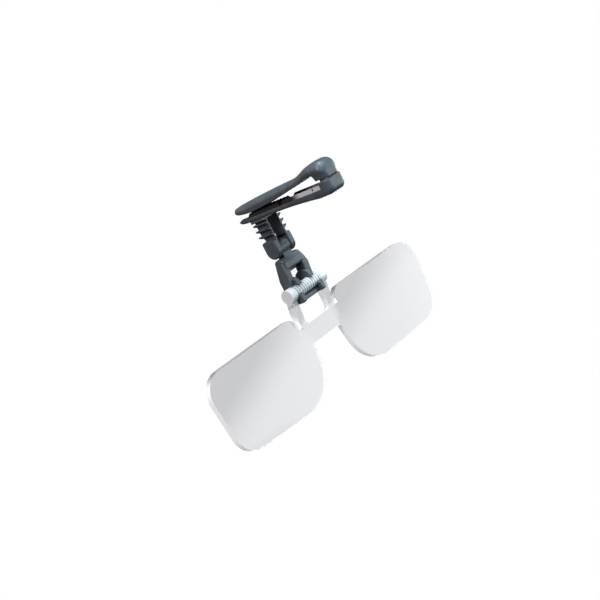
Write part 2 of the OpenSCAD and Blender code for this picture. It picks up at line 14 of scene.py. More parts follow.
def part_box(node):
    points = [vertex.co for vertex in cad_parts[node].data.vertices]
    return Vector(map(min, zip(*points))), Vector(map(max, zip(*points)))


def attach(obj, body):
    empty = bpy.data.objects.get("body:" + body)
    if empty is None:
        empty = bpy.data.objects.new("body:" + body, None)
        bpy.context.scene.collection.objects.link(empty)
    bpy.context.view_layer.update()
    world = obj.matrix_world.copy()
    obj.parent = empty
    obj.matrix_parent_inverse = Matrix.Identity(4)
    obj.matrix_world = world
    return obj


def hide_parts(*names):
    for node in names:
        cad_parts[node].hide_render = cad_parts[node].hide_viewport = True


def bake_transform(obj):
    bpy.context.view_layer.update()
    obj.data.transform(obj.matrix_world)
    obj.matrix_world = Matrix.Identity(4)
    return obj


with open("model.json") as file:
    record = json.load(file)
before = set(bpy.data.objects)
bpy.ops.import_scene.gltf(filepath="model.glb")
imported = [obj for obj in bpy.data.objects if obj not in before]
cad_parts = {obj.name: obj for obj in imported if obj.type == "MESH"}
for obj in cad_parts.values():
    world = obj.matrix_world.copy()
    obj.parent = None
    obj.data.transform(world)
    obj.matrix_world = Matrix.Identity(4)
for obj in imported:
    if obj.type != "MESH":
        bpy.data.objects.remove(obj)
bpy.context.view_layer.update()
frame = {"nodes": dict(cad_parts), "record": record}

bl_info = {
    "name": "Hat magnifier looks",
    "version": (1, 0, 0),
    "blender": (4, 5, 0),
    "location": "View3D > Sidebar > Magnifier",
    "description": "Builds the clip, stem, link, lens and studio of a clip-on hat magnifier",
    "category": "Object",
}

MM = 0.001


def node_box(node):
    """Lowest and highest corner of a CAD node, in millimetres."""
    low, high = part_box(node)
    return np.array(low) / MM, np.array(high) / MM


def joint_place(name):
    """Y and Z of a joint's axis, in millimetres."""
    joint = next(j for j in frame["record"]["behaviour"]["joints"] if j["name"] == name)
    return np.array(joint["pos_m"][1:]) / MM


JAW_LOW, JAW_HIGH = node_box("upper_jaw")
BASE_LOW, BASE_HIGH = node_box("lower_jaw")
STEM_LOW, STEM_HIGH = node_box("ribbed_stem")
LINK_LOW, LINK_HIGH = node_box("hinge_link")
HINGE = joint_place("jaw_open")
FLIP = joint_place("lens_flip")
ROD = joint_place("lens_tilt")


def size(name, value, description):
    """A length property whose default is given in millimetres."""
    return FloatProperty(name=name, description=description, default=value * MM, unit="LENGTH", precision=5)


class ClipSizes(bpy.types.PropertyGroup):
    """Sizes of the clip's two shells, its pads and its spring."""

    wall: size("Wall", 1.0, "Thickness of the shells' side walls")
    roof: size("Roof", 1.2, "Thickness of the upper shell's roof")
    top_round: size("Top rounding", 1.9, "Radius along the upper shell's top edges")
    base_round: size("Base rounding", 1.1, "Radius along the lower shell's bottom edges")
    rear_round: size("Rear rounding", 2.0, "Radius of the closed end's upright edges")
    tuck: size("Tuck", 0.7, "How far the upper shell's sides draw in above the seam")
    tip_flat: size("Tip depth", 4.0, "Depth of the round tip in plan")
    seam_gap: size("Seam gap", 0.7, "Opening of the seam round the closed end")
    block: size("Block depth", 3.8, "Depth of the solid closed end")
    lip: size("Lip", 0.25, "Rounding of the walls' open edges")
    rib: size("Rib height", 0.7, "Height of the pads' ribs")
    leaf: size("Leaf thickness", 0.45, "Thickness of the leaf spring")


class StemSizes(bpy.types.PropertyGroup):
    """Sizes of the finned stem and its yoke."""

    gap: size("Leg gap", 4.8, "Gap between the stem's two legs")
    leg: size("Leg", 0.8, "Thickness of a leg")
    fin: size("Fin", 1.0, "Thickness of a fin at its root")
    fin_tip: size("Fin tip", 0.45, "Thickness of a fin at its tip")
    fin_pitch: size("Fin spacing", 2.1, "Distance from fin to fin")
    yoke: size("Yoke", 9.2, "Width across the yoke's cheeks")
    drop: size("Hinge drop", 3.7, "Distance from the yoke's shoulders to the flip hinge")
    edge: size("Edge", 0.35, "Rounding of the moulded edges")


class LinkSizes(bpy.types.PropertyGroup):
    """Sizes of the hinge link and the lens retainer."""

    tongue: size("Tongue", 2.6, "Radius of the tongue between the cheeks")
    bar: size("Crossbar", 2.2, "Radius of the crossbar")
    bar_width: size("Crossbar width", 10.0, "Width of the crossbar")
    arm: size("Arm", 2.9, "Width of one arm")
    disc: size("Disc", 4.2, "Radius of the discs inside the arms' ends")
    rod: size("Rod", 2.25, "Radius of the sockets for the lens rod")
    edge: size("Edge", 0.4, "Rounding of the moulded edges")


class FinishColours(bpy.types.PropertyGroup):
    """Colours of the finishes, as sRGB hex values."""

    slate: StringProperty(name="Slate plastic", description="Moulded slate-blue plastic", default="#4b5861")
    slate_dark: StringProperty(name="Slate shade", description="Darker mottling of the plastic",
                               default="#3d4850")
    rubber: StringProperty(name="Rubber", description="Black grip pads", default="#191a1c")
    steel: StringProperty(name="Steel", description="Rolled spring steel", default="#a3a09d")
    # Painted light: the dark and the pale steel are painted shade and a painted highlight on the two halves
    # of the channel
    steel_painted_shade: StringProperty(name="Dark steel", description="Steel left as rolled", default="#5a5654")
    steel_painted_highlight: StringProperty(name="Pale steel", description="Steel blasted dull", default="#ccd6df")
    lens: StringProperty(name="Lens", description="Faint shade of the clear acrylic", default="#c7c8cb")
    # Painted light: this white is painted on the lens's thick parts and rims for the white backdrop seen
    # through the clear acrylic
    rod: StringProperty(name="Lens rod", description="Milky shade of the lens's thick parts and rims",
                        default="#e6f0f6")
    shadow: StringProperty(name="Ring shade", description="Shade of the rod's rings", default="#a2a7ab")
    floor: StringProperty(name="Floor", description="Pale studio floor", default="#ffffff")


class StudioSizes(bpy.types.PropertyGroup):
    """The camera and the lights of the studio."""

    azimuth: FloatProperty(name="Azimuth", description="Camera's turn round the object",
                           default=np.radians(-43.3), unit="ROTATION")
    elevation: FloatProperty(name="Elevation", description="Camera's height above the horizon",
                             default=np.radians(8.4), unit="ROTATION")
    roll: FloatProperty(name="Roll", description="Camera's turn about its view", default=np.radians(27.6),
                        unit="ROTATION")
    distance: size("Distance", 603.4, "From the camera to the aim")
    aim: FloatVectorProperty(name="Aim", description="Point of the stem that the camera is set by",
                             default=(0.0, 0.0, -0.0155), unit="LENGTH")
    floor: size("Floor", -95.0, "Height of the floor")


def scaled(group, name):
    """A length of a property group, in millimetres."""
    return getattr(group, name) / MM


# Outlines and grids

def bezier(start, pull, end, count=12):
    """A curve from start to end pulled towards a third point: the quadratic Bezier formula."""
    t = np.linspace(0, 1, count)[:, None]
    return (1 - t) ** 2 * np.array(start) + 2 * t * (1 - t) * np.array(pull) + t ** 2 * np.array(end)


def height_at(y, line):
    """Height of a line of (y, z) points at y, read between its points."""
    order = np.argsort(line[:, 0])
    return np.interp(y, line[order, 0], line[order, 1])


def blend_step(value):
    """A smooth step from 0 to 1 as value goes from 0 to 1."""
    t = np.clip(value, 0, 1)
    return t * t * (3 - 2 * t)


def rounded(corners, steps=5):
    """An outline through corners (a, b, radius), each rounded by an arc that touches both its sides."""
    places = np.array(corners, float)
    points = []
    for index, (a, b, radius) in enumerate(corners):
        corner = np.array([a, b], float)
        before = places[index - 1, :2] - corner
        after = places[(index + 1) % len(corners), :2] - corner
        before /= np.linalg.norm(before)
        after /= np.linalg.norm(after)
        half = np.arccos(np.clip(before @ after, -1, 1)) / 2
        if radius == 0 or abs(half - np.pi / 2) < 0.01:
            points.append(corner[None])
            continue
        middle = (before + after) / np.linalg.norm(before + after)
        centre = corner + middle * radius / np.sin(half)
        first = corner + before * radius / np.tan(half) - centre
        last = corner + after * radius / np.tan(half) - centre
        start = np.arctan2(first[1], first[0])
        turn = (np.arctan2(last[1], last[0]) - start + np.pi) % (2 * np.pi) - np.pi
        angle = start + turn * np.linspace(0, 1, steps + 1)
        points.append(centre + radius * np.stack([np.cos(angle), np.sin(angle)], 1))
    return np.concatenate(points)


def circle(centre, radius, count=48):
    """A round outline."""
    angle = np.linspace(0, 2 * np.pi, count, endpoint=False)
    return np.array(centre) + radius * np.stack([np.cos(angle), np.sin(angle)], 1)


def shrunk(outline, distance):
    """An outline moved inwards by a distance along the mitre of its neighbouring sides."""
    side = np.roll(outline, -1, 0) - outline
    side /= np.maximum(np.linalg.norm(side, axis=1), 1e-9)[:, None]
    area = np.sum(outline[:, 0] * np.roll(outline[:, 1], -1) - np.roll(outline[:, 0], -1) * outline[:, 1])
    inward = np.stack([-side[:, 1], side[:, 0]], 1) * np.sign(area)
    mitre = inward + np.roll(inward, 1, 0)
    length = np.maximum(np.sum(mitre ** 2, 1) / 2, 0.4)
    return outline + distance * mitre / length[:, None]


def slab(outline, low, high, edge=0.3, axis="x", steps=4):
    """An outline carried straight from low to high; at both ends it shrinks by a quarter circle.

    The outline is drawn in Y and Z and carried along X, or drawn in X and Z and carried along Y.
    """
    angle = np.linspace(0, np.pi / 2, steps + 1)
    run = edge * (1 - np.cos(angle))
    inset = edge * (1 - np.sin(angle))
    place = np.concatenate([low + run, (high - run)[::-1]])
    inset = np.concatenate([inset, inset[::-1]])
    rings = np.stack([shrunk(outline, distance) for distance in inset])
    along = np.broadcast_to(place[:, None, None], rings.shape[:2] + (1,))
    if axis == "x":
        return np.concatenate([along, rings], 2)
    return np.concatenate([rings[..., :1], along, rings[..., 1:]], 2)


def mirrored(shell):
    """The same shell on the other side of the middle."""
    return shell * np.array([-1, 1, 1])


def channel(y, half, edge, crest, radius, hollow, wall, lip, tuck, mound=0.0):
    """A shell of channel sections along Y.

    Each section starts at one open edge, goes up the outer side, round a corner and over the crest
    to the other side, and comes back along the inside. half is half its width, edge the height of
    its open edges, crest and hollow the heights of its outside and inside in the middle. tuck says
    how far the side draws in at a place and a height. mound is how much lower the crest's sides are
    than its middle, growing by the square of the distance from the middle.
    """
    side_points, corner_points, top_points = 9, 8, 6
    sign = np.sign(crest - edge).mean()
    y, half, edge, crest, radius, hollow = (
        np.broadcast_to(v, y.shape)[:, None] for v in (y, half, edge, crest, radius, hollow))
    wall = np.minimum(wall, half * 0.5)
    lip = np.minimum(lip, half * 0.2)
    up = np.linspace(0, 1, side_points)[None]
    start = edge + sign * lip
    side_z = start + (crest - sign * radius - start) * up
    side_x = half - tuck(y, side_z)
    turn = np.linspace(0, np.pi / 2, corner_points)[None, 1:]
    corner_x = half - radius + radius * np.cos(turn) - tuck(y, crest - sign * radius)
    corner_z = crest - sign * radius + sign * radius * np.sin(turn)
    over = np.linspace(0, 1, top_points)[None, 1:]
    top_x = corner_x[:, -1:] * (1 - over)
    top_z = np.broadcast_to(crest, top_x.shape)
    foot_x = side_x[:, :1] - lip
    outer_x = np.concatenate([foot_x, side_x, corner_x, top_x], 1)
    outer_z = np.concatenate([edge, side_z, corner_z, top_z], 1)
    outer_z = outer_z - sign * mound * (outer_x / half) ** 2 * blend_step((outer_z - edge) / (crest - edge))
    inner = foot_x + lip - wall
    ease = np.minimum(0.5, np.abs(hollow - edge) / 2)
    inner_x = np.concatenate(
        [inner * v for v in (0, 0.5)] + [inner - ease * v for v in (1, 0.3, 0)] + [inner], 1)
    inner_z = np.concatenate([hollow, hollow] + [hollow - sign * ease * v for v in (0, 0.3, 1)] + [edge], 1)
    loop_x = np.concatenate([outer_x, -outer_x[:, -2::-1], -inner_x[:, ::-1], inner_x[:, 1:]], 1)
    loop_z = np.concatenate([outer_z, outer_z[:, -2::-1], inner_z[:, ::-1], inner_z[:, 1:]], 1)
    return np.stack([loop_x, np.broadcast_to(y, loop_x.shape), loop_z], 2)


def grid_faces(rows, columns, first):
    """Quads between neighbouring rings of a grid whose rings close on themselves, and both end caps."""
    index = first + np.arange(rows * columns).reshape(rows, columns)
    below, above = index[:-1], index[1:]
    quads = np.stack([below, np.roll(below, -1, 1), np.roll(above, -1, 1), above], 2)
    return quads.reshape(-1, 4).tolist() + [index[0, ::-1].tolist(), index[-1].tolist()]


def make_piece(name, shells, material, body, nodes=(), smooth=38):
    """Puts closed shells into one mesh, turns their faces outwards and rides it on a body."""
    faces = []
    first = 0
    for shell in shells:
        rows, columns = shell.shape[:2]
        faces += grid_faces(rows, columns, first)
        first += rows * columns
    points = np.concatenate([shell.reshape(-1, 3) for shell in shells]) * MM
    mesh = bpy.data.meshes.new(name)
    mesh.from_pydata(points.tolist(), [], faces)
    return finish_piece(name, mesh, material, body, nodes, smooth)


def finish_piece(name, mesh, material, body, nodes=(), smooth=38):
    """Merges doubles, turns the normals outwards, shades the mesh and puts its object into the frame."""
    work = bmesh.new()
    work.from_mesh(mesh)
    bmesh.ops.remove_doubles(work, verts=work.verts, dist=0.002 * MM)
    bmesh.ops.dissolve_degenerate(work, edges=work.edges, dist=0.001 * MM)
    bmesh.ops.recalc_face_normals(work, faces=work.faces)
    work.to_mesh(mesh)
    work.free()
    mesh.shade_smooth()
    mesh.set_sharp_from_angle(angle=np.radians(smooth))
    mesh.materials.append(bpy.data.materials[material])
    piece = bpy.data.objects.new(name, mesh)
    bpy.context.scene.collection.objects.link(piece)
    even = piece.modifiers.new("Even shading", "WEIGHTED_NORMAL")
    even.keep_sharp = True
    if body:
        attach(piece, body)
    if nodes:
        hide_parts(*nodes)
    return piece


def finish_nodes(names, material):
    """Gives CAD nodes a finish in place of their plain one."""
    for name in names:
        mesh = frame["nodes"][name].data
        mesh.materials.clear()
        mesh.materials.append(bpy.data.materials[material])


# Materials

def linear(text, alpha=1.0):
    """An sRGB hex colour as linear red, green, blue and alpha."""
    srgb = np.array([int(text[i:i + 2], 16) for i in (1, 3, 5)]) / 255
    values = np.where(srgb <= 0.04045, srgb / 12.92, ((srgb + 0.055) / 1.055) ** 2.4)
    return (*values.tolist(), alpha)


def add_node(tree, kind, inputs=(), **settings):
    """Adds a node, sets its properties, and gives its inputs values or other nodes' outputs."""
    node = tree.nodes.new(kind)
    for name, value in settings.items():
        setattr(node, name, value)
    for key, value in dict(inputs).items():
        if isinstance(value, bpy.types.NodeSocket):
            tree.links.new(value, node.inputs[key])
        else:
            node.inputs[key].default_value = value
    return node


def new_material(name):
    """An empty material: its tree, its shader and its coordinates."""
    material = bpy.data.materials.new(name)
    material.use_nodes = True
    tree = material.node_tree
    tree.nodes.clear()
    shader = add_node(tree, "ShaderNodeBsdfPrincipled")
    add_node(tree, "ShaderNodeOutputMaterial", {"Surface": shader.outputs[0]})
    place = add_node(tree, "ShaderNodeTexCoord").outputs["Object"]
    return tree, shader, place


class MAGNIFIER_OT_finishes(bpy.types.Operator):
    """Make the materials of the plastic, rubber, steel and lens"""

    bl_idname = "magnifier.finishes"
    bl_label = "Finishes"

    def execute(self, context):
        colours = context.scene.magnifier_colours

        # Slate ABS, moulded in a fine-textured steel mould: satin, with a faint uneven sheen
        tree, shader, place = new_material("moulded_slate_abs")
        cloud = add_node(tree, "ShaderNodeTexNoise", {"Vector": place, "Scale": 1 / (4 * MM), "Detail": 3.0})
        shade = add_node(tree, "ShaderNodeValToRGB", {"Fac": cloud.outputs["Fac"]})
        shade.color_ramp.elements[0].position = 0.3
        shade.color_ramp.elements[0].color = linear(colours.slate_dark)
        shade.color_ramp.elements[1].position = 0.7
        shade.color_ramp.elements[1].color = linear(colours.slate)
        tree.links.new(shade.outputs["Color"], shader.inputs["Base Color"])
        grain = add_node(tree, "ShaderNodeTexNoise", {
            "Vector": place, "Scale": 1 / (0.25 * MM), "Detail": 2.0})
        bump = add_node(tree, "ShaderNodeBump", {"Height": grain.outputs["Fac"], "Strength": 0.12,
                                                 "Distance": 0.05 * MM})
        tree.links.new(bump.outputs["Normal"], shader.inputs["Normal"])
        shader.inputs["Roughness"].default_value = 0.45
        shader.inputs["IOR"].default_value = 1.53

        # Black silicone rubber, moulded matt: dark and dull, with grey only on the ribs' crests
        tree, shader, place = new_material("moulded_black_rubber")
        shader.inputs["Base Color"].default_value = linear(colours.rubber)
        shader.inputs["Roughness"].default_value = 0.7
        dust = add_node(tree, "ShaderNodeTexNoise", {"Vector": place, "Scale": 1 / (0.2 * MM)})
        bump = add_node(tree, "ShaderNodeBump", {"Height": dust.outputs["Fac"], "Strength": 0.15,
                                                 "Distance": 0.05 * MM})
        tree.links.new(bump.outputs["Normal"], shader.inputs["Normal"])

        # Spring steel, cold rolled: bright, with fine lines along the rolling
        tree, shader, place = new_material("rolled_spring_steel")
        shader.inputs["Base Color"].default_value = linear(colours.steel)
        shader.inputs["Metallic"].default_value = 1.0
        lines = add_node(tree, "ShaderNodeMapping", {"Vector": place, "Scale": (1 / MM, 0.06 / MM, 1 / MM)})
        brushed = add_node(tree, "ShaderNodeTexNoise", {"Vector": lines.outputs["Vector"], "Scale": 4.0})
        rough = add_node(tree, "ShaderNodeMapRange", {"Value": brushed.outputs["Fac"], "To Min": 0.35,
                                                      "To Max": 0.55})
        tree.links.new(rough.outputs["Result"], shader.inputs["Roughness"])

        # The same steel on the channel, with painted light: the half near the hinge is painted pale and less
        # metallic as a painted highlight, and the other half is painted dark as painted shade
        tree, shader, place = new_material("spring_steel_painted_light")
        along = add_node(tree, "ShaderNodeSeparateXYZ", {0: place}).outputs["Y"]
        # Painted light: this mask runs from the painted shade to the painted highlight along the channel
        pale = add_node(tree, "ShaderNodeMapRange", {
            "Value": along, "From Min": -17.5 * MM, "From Max": -21 * MM})
        shade = add_node(tree, "ShaderNodeMix", data_type="RGBA", inputs={
            0: pale.outputs["Result"], 6: linear(colours.steel_painted_shade), 7: linear(colours.steel_painted_highlight)})
        tree.links.new(shade.outputs[2], shader.inputs["Base Color"])
        metal = add_node(tree, "ShaderNodeMapRange", {
            "Value": pale.outputs["Result"], "To Min": 1.0, "To Max": 0.1})
        tree.links.new(metal.outputs["Result"], shader.inputs["Metallic"])
        shader.inputs["Roughness"].default_value = 0.5

        # Clear acrylic, injection moulded and polished: faintly grey to look through, with soft
        # reflections. The thick bosses are painted white, as painted light for the white backdrop seen
        # through them, and the plate's rims are painted white with a faint painted glow of their own
        tree, shader, place = new_material("polished_clear_acrylic")
        height = add_node(tree, "ShaderNodeSeparateXYZ", {0: place}).outputs["Z"]
        # Painted light: the rod and bosses from this height up are painted white, for the white backdrop seen
        # through them
        thick = add_node(tree, "ShaderNodeMapRange", {
            "Value": height, "From Min": (ROD[1] - 4.5) * MM, "From Max": (ROD[1] - 2.6) * MM})
        plate = add_node(tree, "ShaderNodeMapRange", {
            "Value": height, "From Min": (ROD[1] - 10) * MM, "From Max": (ROD[1] - 6) * MM,
            "To Min": 1.0, "To Max": 0.0})
        # Painted light: faces turned side-on, the plate's rims, are painted white as well
        facing = add_node(tree, "ShaderNodeSeparateXYZ", {
            0: add_node(tree, "ShaderNodeTexCoord").outputs["Normal"]}).outputs["Y"]
        upright = add_node(tree, "ShaderNodeMath", operation="ABSOLUTE", inputs={0: facing})
        turned = add_node(tree, "ShaderNodeMapRange", {
            "Value": upright.outputs[0], "From Min": 0.9, "From Max": 0.4})
        rim = add_node(tree, "ShaderNodeMath", operation="MULTIPLY", inputs={
            0: turned.outputs["Result"], 1: plate.outputs["Result"]})
        painted_light = add_node(tree, "ShaderNodeMath", operation="MAXIMUM", inputs={
            0: thick.outputs["Result"], 1: rim.outputs[0]})
        clear = add_node(tree, "ShaderNodeMapRange", {
            "Value": painted_light.outputs[0], "To Min": 1.0, "To Max": 0.1})
        tree.links.new(clear.outputs["Result"], shader.inputs["Transmission Weight"])
        shade = add_node(tree, "ShaderNodeMix", data_type="RGBA", inputs={
            0: painted_light.outputs[0], 6: linear(colours.lens), 7: linear(colours.rod)})
        tree.links.new(shade.outputs[2], shader.inputs["Base Color"])
        # Painted light: the rims get a painted glow, though they are no lamp
        glow = add_node(tree, "ShaderNodeMath", operation="MULTIPLY", inputs={0: rim.outputs[0], 1: 0.3})
        tree.links.new(glow.outputs[0], shader.inputs["Emission Strength"])
        shader.inputs["Emission Color"].default_value = (1, 1, 1, 1)
        shader.inputs["IOR"].default_value = 1.49
        shader.inputs["Roughness"].default_value = 0.0
        ripple = add_node(tree, "ShaderNodeTexNoise", {
            "Vector": place, "Scale": 1 / (12 * MM), "Detail": 1.0})
        bump = add_node(tree, "ShaderNodeBump", {"Height": ripple.outputs["Fac"], "Strength": 0.05,
                                                 "Distance": 0.3 * MM})
        tree.links.new(bump.outputs["Normal"], shader.inputs["Normal"])

        # The same acrylic in the fine rings round the rod, painted grey as painted shade held in the rings,
        # darker than the white rod between them
        tree, shader, place = new_material("ringed_acrylic_painted_shade")
        shader.inputs["Base Color"].default_value = linear(colours.shadow)
        shader.inputs["Transmission Weight"].default_value = 0.15
        shader.inputs["IOR"].default_value = 1.49
        shader.inputs["Roughness"].default_value = 0.3
        return {"FINISHED"}


def upper_lines():
    """The upper shell's top line in Y and Z, from its tip to its rear, as the CAD draws it: curves that
    meet with the same slope."""
    rear, tip = JAW_LOW[1], JAW_HIGH[1]
    crown = JAW_HIGH[2]
    front = tip + 0.3
    nose = (tip - 3.4, 3.1)
    deck = (-16.6, 4.4)
    swell_start, swell_end = -21.6, -28.6
    swell = (-25.2, (deck[1] + crown) / 2)
    crown_end = (-32.2, crown)
    return np.concatenate([
        bezier((front, 1.5), (front, nose[1] - 0.2), nose),
        bezier(nose, (-3, (nose[1] + deck[1]) / 2 + 0.25), deck),
        bezier(deck, (swell_start, deck[1] + 0.23), swell),
        bezier(swell, (swell_end, crown), crown_end),
        bezier(crown_end, (rear + 0.4, crown), (rear, crown - 2.3))])


class MAGNIFIER_OT_clip(bpy.types.Operator):
    """Build the clip's two shells"""

    bl_idname = "magnifier.clip"
    bl_label = "Clip shells"

    def execute(self, context):
        sizes = context.scene.magnifier_clip
        wall, roof = scaled(sizes, "wall"), scaled(sizes, "roof")
        rear, tip = JAW_LOW[1], JAW_HIGH[1]
        half_width = JAW_HIGH[0]
        inner = rear + scaled(sizes, "block")
        flat = tip - scaled(sizes, "tip_flat")
        seam = scaled(sizes, "seam_gap") / 2
        turn = np.linspace(0, np.pi / 2, 7)
        corner = scaled(sizes, "rear_round")
        behind = rear + corner * (1 - np.cos(turn))
        tip_turn = np.radians(np.linspace(6, 86, 12))
        tip_y = flat + (tip - flat) * np.sin(tip_turn)

        def half_at(y):
            """Half the width at y: an ellipse's quarter at the tip, and a round corner at the rear."""
            narrowing = np.clip((y - flat) / (tip - flat), 0, 1)
            rounding = np.clip((rear + corner - y) / corner, 0, 1)
            return half_width * np.sqrt(1 - narrowing ** 2) - corner * (1 - np.sqrt(1 - rounding ** 2))

        # Upper shell: hollow from the block to the pad, and solid at its tip
        top = upper_lines()
        throat_in = 1.2
        throat_top = (inner + 2.3, 3.85)
        mouth = (0, 0.2)
        tip_edge = 1.2
        edge_line = np.concatenate([
            bezier((inner + throat_in, HINGE[1] + seam), (inner + throat_in, 3.65), throat_top),
            bezier(throat_top, (throat_top[0] / 2, 0.95), mouth),
            bezier(mouth, (5, 0), (tip - 1, tip_edge)), [(tip + 1, tip_edge)]])
        pad_low, pad_high = node_box("upper_grip_pad")
        cave = pad_low[1] - 1
        y = np.concatenate([
            behind, np.linspace(behind[-1] + 0.3, inner - 0.01, 5), inner + np.linspace(0, throat_in, 3),
            inner + throat_in + 0.01 + 1.1 * np.linspace(0, 1, 9) ** 1.6, np.linspace(inner + 2.6, cave, 24),
            [cave + 0.01], np.linspace(cave + 0.5, pad_high[1], 10),
            [pad_high[1] + 0.01], np.linspace(pad_high[1] + 0.5, flat, 6), tip_y])
        edge = np.where(y < inner + throat_in + 0.005, HINGE[1] + seam, height_at(y, edge_line))
        crest = height_at(y, top)
        hollow = np.where(y < inner - 0.005, edge,
                          np.where(y < cave + 0.005, crest - roof,
                                   np.where(y < pad_high[1] + 0.005, pad_high[2], edge)))
        half = half_at(y)
        radius = scaled(sizes, "top_round") + 0.6 * blend_step((-22 - y) / 5)
        radius = np.minimum(radius, np.minimum(0.62 * (crest - edge), 0.75 * half))
        depth = scaled(sizes, "tuck")

        def tuck(place, height):
            """How far the sides draw in: more towards the closed end and towards the seam."""
            return depth * blend_step((-24 - place) / 5) * blend_step((5.2 - height) / 3.4)

        upper = channel(y, half, edge, crest, radius, hollow, wall, scaled(sizes, "lip"), tuck, mound=0.35)
        knuckle = circle(HINGE, 1.2)
        ear = slab(knuckle, 1.95, 3.25, 0.1)
        make_piece("upper_shell", [upper, ear, mirrored(ear)], "moulded_slate_abs", "upper_clip",
                   ["upper_jaw"])

        # Lower shell: a tray with side walls, a deeper closed end and a rising tip
        low_z = BASE_LOW[2]
        floor = node_box("lower_grip_pad")[0][2]
        under = floor - 1
        rim = -1.5
        heel, deep_end, slope_end = 2.2, inner + 2.6, -7
        base = np.concatenate([
            bezier((rear, low_z + heel), (rear, low_z), (rear + heel, low_z)),
            bezier((deep_end, low_z), ((deep_end + slope_end) / 2, under), (slope_end, under)),
            bezier((4, under), (flat + 2, under), (tip + 0.3, under + 1.6))])
        y = np.concatenate([
            behind, np.linspace(behind[-1] + 0.3, inner, 5), [inner + 0.01],
            np.linspace(inner + 0.5, flat - 0.01, 40), [flat], tip_y])
        edge = np.where(y < inner + 0.005, HINGE[1] - seam, np.interp(y, [flat, tip], [rim, rim - 0.3]))
        hollow = np.where((y > inner + 0.005) & (y < flat - 0.005), floor, edge)
        crest = height_at(y, base)
        half = half_at(y)
        radius = scaled(sizes, "base_round") + 0.7 * blend_step((-29 - y) / 3)
        radius = np.minimum(radius, np.minimum(0.6 * (edge - crest), 0.75 * half))

        def no_tuck(place, height):
            """No drawing in, in the shape of the side's points."""
            return 0 * (place + height)

        lower = channel(y, half, edge, crest, radius, hollow, wall, scaled(sizes, "lip"), no_tuck)
        middle_ear = slab(knuckle, -1.8, 1.8, 0.1)
        make_piece("lower_shell", [lower, middle_ear], "moulded_slate_abs", "lower_clip",
                   ["lower_jaw"])
        return {"FINISHED"}


class MAGNIFIER_OT_pads(bpy.types.Operator):
    """Build the two ribbed grip pads"""

    bl_idname = "magnifier.pads"
    bl_label = "Grip pads"

    def execute(self, context):
        rib = scaled(context.scene.magnifier_clip, "rib")
        rib_spacing = 1.7
        for node, body, upward in (("lower_grip_pad", "lower_clip", 1), ("upper_grip_pad", "upper_clip", -1)):
            low, high = node_box(node)
            count = int(round((high[1] - low[1]) / rib_spacing))
            step = (high[1] - low[1]) / count
            crest, back = (high[2], low[2]) if upward > 0 else (low[2], high[2])
            root = crest - upward * rib
            corners = [(low[1], back, 0), (low[1], root, 0)]
            for i in range(count):
                corners += [(low[1] + (i + 0.5) * step, crest, 0.14), (low[1] + (i + 1) * step, root, 0)]
            corners.append((high[1], back, 0))
            make_piece(node + "_ribs", [slab(rounded(corners, 3), low[0], high[0], 0.12)],
                       "moulded_black_rubber", body, [node])
        return {"FINISHED"}


class MAGNIFIER_OT_spring(bpy.types.Operator):
    """Build the leaf spring and finish the steel parts"""

    bl_idname = "magnifier.spring"
    bl_label = "Spring and steel"

    def execute(self, context):
        sizes = context.scene.magnifier_clip
        low, high = node_box("leaf_spring")
        leaf = scaled(sizes, "leaf")
        # The lower leg lies flat, the bend is round, and the upper leg slopes down to its tip
        foot = low[2] + leaf / 2
        mesh = frame["nodes"]["leaf_spring"].data
        points = np.empty(len(mesh.vertices) * 3)
        mesh.vertices.foreach_get("co", points)
        points = points.reshape(-1, 3) / MM
        end = points[points[:, 2] > 2]
        tip_y = end[:, 1].max()
        tip_z = end[end[:, 1] > tip_y - 0.3][:, 2].mean()
        top_y = end[end[:, 2] > high[2] - 0.05][:, 1].mean()
        slope = np.arctan2(high[2] - leaf / 2 - tip_z, tip_y - top_y)
        radius = (high[2] - low[2] - leaf) / 2
        centre = np.array([low[1] + leaf / 2 + radius, foot + radius])
        turn = np.linspace(-np.pi / 2, -3 * np.pi / 2 - slope, 36)
        bend = centre + radius * np.stack([np.cos(turn), np.sin(turn)], 1)
        lower_tip = points[points[:, 2] < low[2] + 0.1][:, 1].max()
        line = np.concatenate([[(lower_tip, foot)], bend, [(tip_y, tip_z)]])
        along = np.gradient(line, axis=0)
        along /= np.linalg.norm(along, axis=1)[:, None]
        side = np.stack([-along[:, 1], along[:, 0]], 1) * leaf / 2
        outline = np.concatenate([line + side, (line - side)[::-1]])
        strip = slab(outline, low[0], high[0], 0.08, steps=2)
        piece = make_piece("leaf_spring_strip", [strip], "rolled_spring_steel", None,
                           ["leaf_spring"])
        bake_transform(piece)
        finish_nodes(["channel_pin", "lower_spring_rivet", "upper_spring_rivet", "jaw_hinge_pin",
                      "flip_pin"], "rolled_spring_steel")
        finish_nodes(["spring_channel"], "spring_steel_painted_light")
        return {"FINISHED"}


